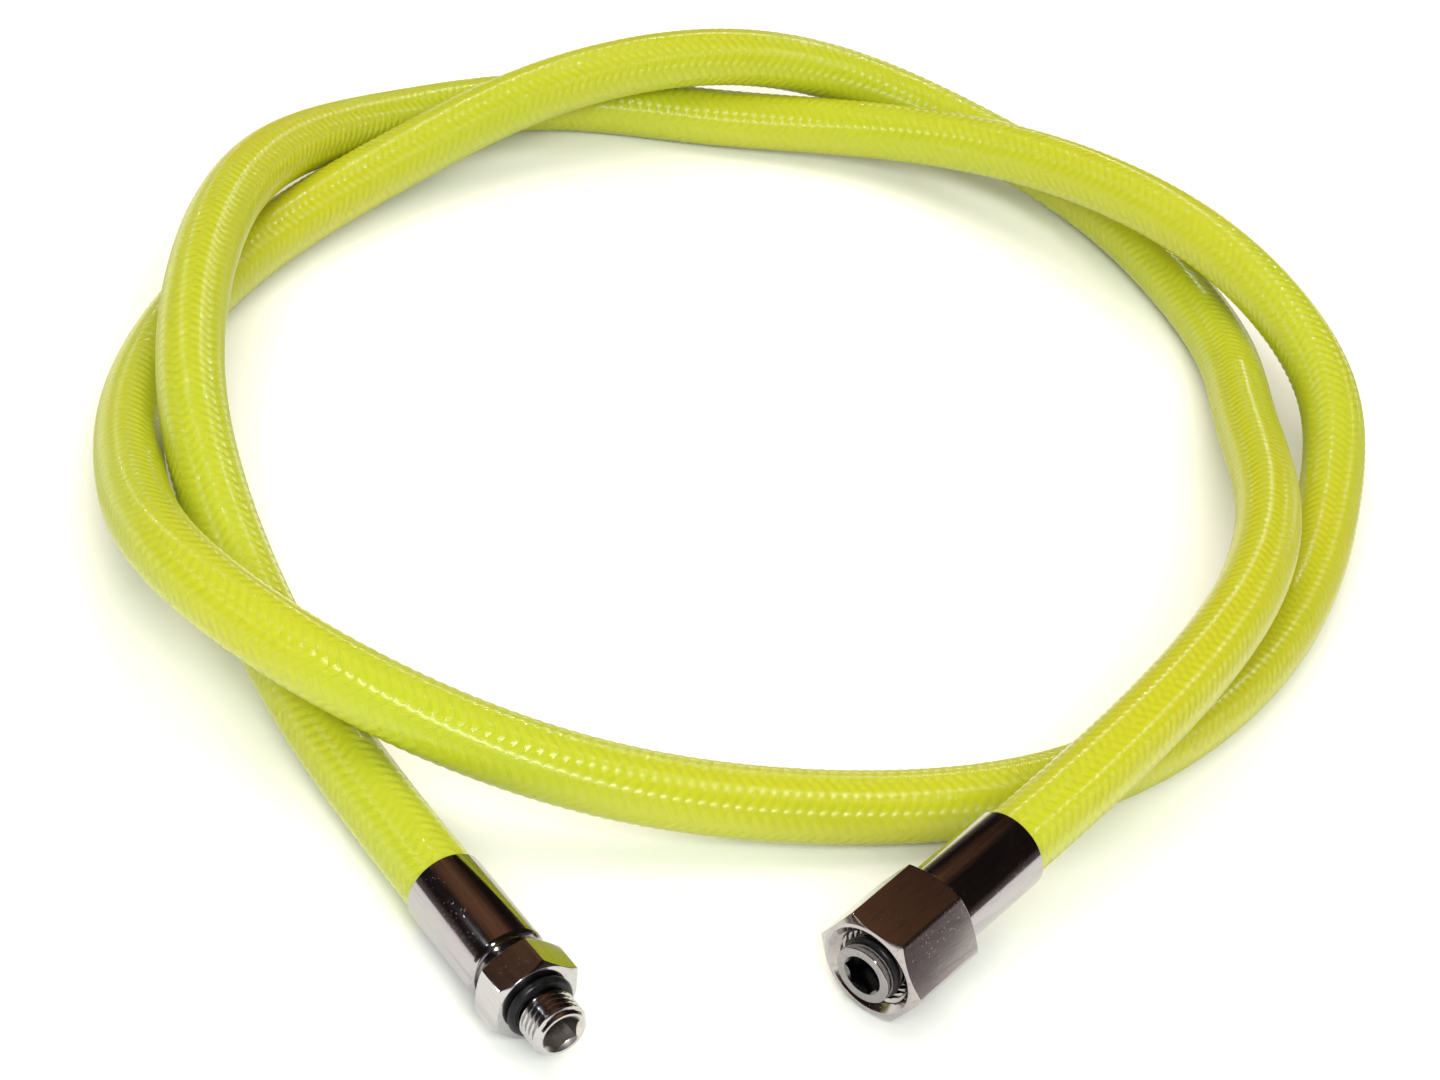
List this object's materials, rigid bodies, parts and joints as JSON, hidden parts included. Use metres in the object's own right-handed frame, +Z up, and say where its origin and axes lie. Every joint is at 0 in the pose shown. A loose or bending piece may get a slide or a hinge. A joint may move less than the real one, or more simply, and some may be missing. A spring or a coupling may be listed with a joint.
{
  "type": "breathing air hose",
  "caption": "Braided low-pressure breathing hose in a loose coil, with a crimped threaded stud at one end and a crimped swivel nut at the other.",
  "frame": {"origin": "centre of the whole part's box, on the surface it lies on", "axes": "+Z up from the surface; +Y from the two end fittings to the far side of the coil; +X to the side of the swivel end"},
  "size_m": [0.2446, 0.331, 0.0298],
  "materials": {
    "braid_cover": "glossy braided filament over a soft yellow-green jacket",
    "reinforcement": "off-white braid",
    "liner": "smooth dark polymer",
    "ferrule_chrome": "polished chrome plating with light scratches",
    "fitting_chrome": "polished chrome plating",
    "nut_chrome": "polished chrome plating with fine wear",
    "seal_rubber": "satin black rubber"
  },
  "bodies": {
    "hose": {"outer_braid_cover": "braid_cover", "reinforcement_braid": "reinforcement", "hose_liner": "liner", "male_ferrule": "ferrule_chrome", "male_stem": "fitting_chrome", "male_o_ring": "seal_rubber", "female_ferrule": "ferrule_chrome", "female_stem": "fitting_chrome", "nose_o_ring": "seal_rubber"},
    "nut": {"swivel_nut": "nut_chrome"}
  },
  "joints": [
    {"name": "nut_swivel", "type": "hinge", "parent": "hose", "child": "nut", "pos_m": [0.0409, -0.12643, 0.01099], "axis": [-0.5248, -0.8398, -0.1392], "continuous": true}
  ]
}
